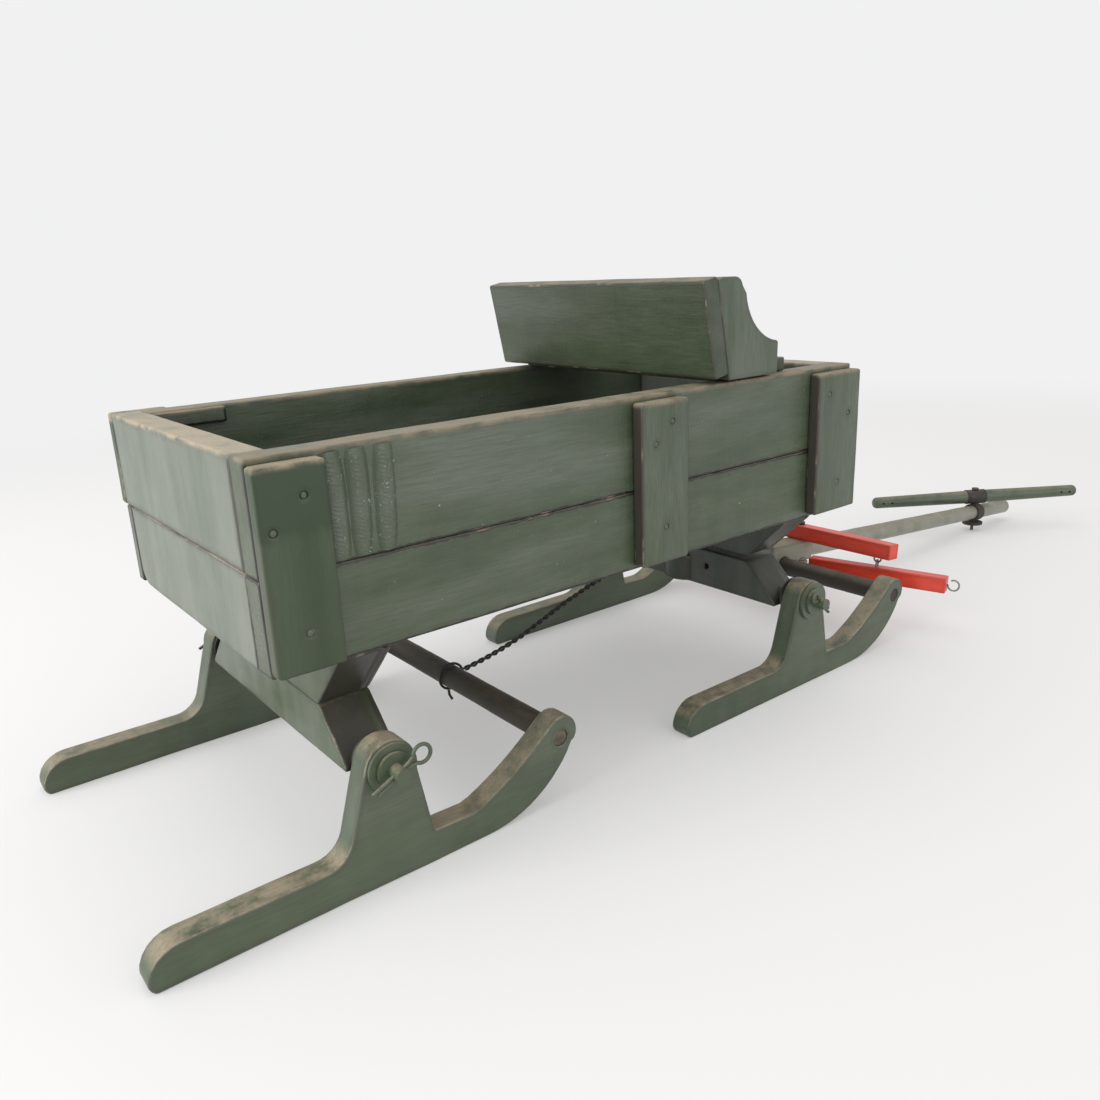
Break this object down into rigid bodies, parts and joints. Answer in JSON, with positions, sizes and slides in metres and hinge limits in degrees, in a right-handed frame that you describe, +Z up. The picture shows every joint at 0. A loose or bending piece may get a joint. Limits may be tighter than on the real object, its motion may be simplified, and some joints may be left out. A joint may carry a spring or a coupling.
{
  "type": "toy horse-drawn bobsled wagon",
  "caption": "Small wooden bobsled wagon: two-board box with lift-off seat on a fixed rear bob and a steering front bob, with pole, evener, singletrees and neck yoke",
  "frame": {"origin": "middle of the whole sled's bounding box, on the floor", "axes": "+X runs forward from the box towards the end of the pole, +Y is the sled's left side, +Z is up"},
  "size_m": [1.2841, 0.3532, 0.3655],
  "materials": {
    "green_paint": "worn glossy oil paint over pine",
    "dark_green_paint": "worn dark oil paint over pine",
    "red_paint": "glossy enamel over hardwood",
    "bare_wood": "bare aged pine",
    "black_iron": "dull black iron",
    "steel_wire": "dull drawn wire",
    "painted_washer": "green paint over iron",
    "leather": "old black leather"
  },
  "bodies": {
    "wagon_box": {"right_upper_side_board": "green_paint", "right_lower_side_board": "green_paint", "left_upper_side_board": "green_paint", "left_lower_side_board": "green_paint", "rear_upper_end_board": "green_paint", "rear_lower_end_board": "green_paint", "front_upper_end_board": "green_paint", "front_lower_end_board": "green_paint", "floor_boards": "dark_green_paint", "right_rear_batten": "green_paint", "right_middle_batten": "green_paint", "right_front_batten": "green_paint", "left_rear_batten": "green_paint", "left_middle_batten": "green_paint", "left_front_batten": "green_paint", "left_corner_cleat": "green_paint", "batten_nails": "black_iron", "rear_bolster": "green_paint", "rear_beam": "green_paint", "rear_axle_rod": "black_iron", "rear_inner_washers": "black_iron", "rear_large_washers": "painted_washer", "rear_small_washers": "painted_washer", "rear_cotter_pins": "black_iron", "front_bolster": "dark_green_paint", "kingpin": "black_iron", "kingpin_nut": "black_iron"},
    "front_axle": {"front_beam": "dark_green_paint", "kingpin_block": "dark_green_paint", "front_axle_rod": "black_iron", "front_inner_washers": "black_iron", "front_large_washers": "painted_washer", "front_small_washers": "painted_washer", "front_cotter_pins": "black_iron"},
    "rear_bob": {"rear_right_runner": "green_paint", "rear_left_runner": "green_paint", "rear_crossbar": "dark_green_paint"},
    "front_bob": {"front_right_runner": "green_paint", "front_left_runner": "green_paint", "front_crossbar": "dark_green_paint"},
    "reach_link": {"wire_link": "black_iron"},
    "pole_gear": {"pole": "green_paint", "pole_saddle": "bare_wood", "saddle_nails": "black_iron", "pole_strap": "leather", "yoke_pin": "black_iron", "pin_washer": "leather", "evener_bolt": "black_iron"},
    "evener_bar": {"evener": "red_paint", "evener_staples": "steel_wire"},
    "right_tree": {"right_singletree": "red_paint", "right_singletree_hooks": "steel_wire"},
    "left_tree": {"left_singletree": "red_paint", "left_singletree_hooks": "steel_wire"},
    "yoke": {"neck_yoke": "green_paint", "yoke_band": "black_iron"},
    "seat": {"seat_back": "green_paint", "seat_plank": "green_paint", "seat_right_panel": "green_paint", "seat_left_panel": "green_paint"}
  },
  "joints": [
    {"name": "front_steer", "type": "hinge", "parent": "wagon_box", "child": "front_axle", "pos_m": [-0.055, 0, 0.092], "axis": [0, 0, 1], "range_deg": [-25, 25]},
    {"name": "rear_rock", "type": "hinge", "parent": "wagon_box", "child": "rear_bob", "pos_m": [-0.483, 0, 0.081], "axis": [0, 1, 0], "range_deg": [-5, 5]},
    {"name": "front_rock", "type": "hinge", "parent": "front_axle", "child": "front_bob", "pos_m": [-0.055, 0, 0.081], "axis": [0, 1, 0], "range_deg": [-5, 5]},
    {"name": "link_swing", "type": "hinge", "parent": "rear_bob", "child": "reach_link", "pos_m": [-0.347, 0, 0.051], "axis": [0, 1, 0], "range_deg": [-7.5, 7.5]},
    {"name": "pole_pitch", "type": "hinge", "parent": "front_bob", "child": "pole_gear", "pos_m": [0.081, 0, 0.051], "axis": [0, 1, 0], "range_deg": [-75, 0]},
    {"name": "evener_swing", "type": "hinge", "parent": "pole_gear", "child": "evener_bar", "pos_m": [0.12359, 0, 0.07947], "axis": [0.0854, 0, 0.9963], "range_deg": [-4, 4]},
    {"name": "right_tree_swing", "type": "hinge", "parent": "evener_bar", "child": "right_tree", "pos_m": [0.12586, -0.098, 0.0592], "axis": [0.0854, 0, 0.9963], "range_deg": [-28, 0]},
    {"name": "left_tree_swing", "type": "hinge", "parent": "evener_bar", "child": "left_tree", "pos_m": [0.12586, 0.098, 0.0592], "axis": [0.0854, 0, 0.9963], "range_deg": [0, 28]},
    {"name": "yoke_swivel", "type": "hinge", "parent": "pole_gear", "child": "yoke", "pos_m": [0.517, 0, 0.048], "axis": [0, 0, 1], "range_deg": [-115, 10]},
    {"name": "seat_lift", "type": "slide", "parent": "wagon_box", "child": "seat", "axis": [0, 0, 1], "range_m": [0, 0.06]}
  ],
  "couplings": [
    {"joint": "link_swing", "follows": "rear_rock", "ratio": -1.466}
  ]
}
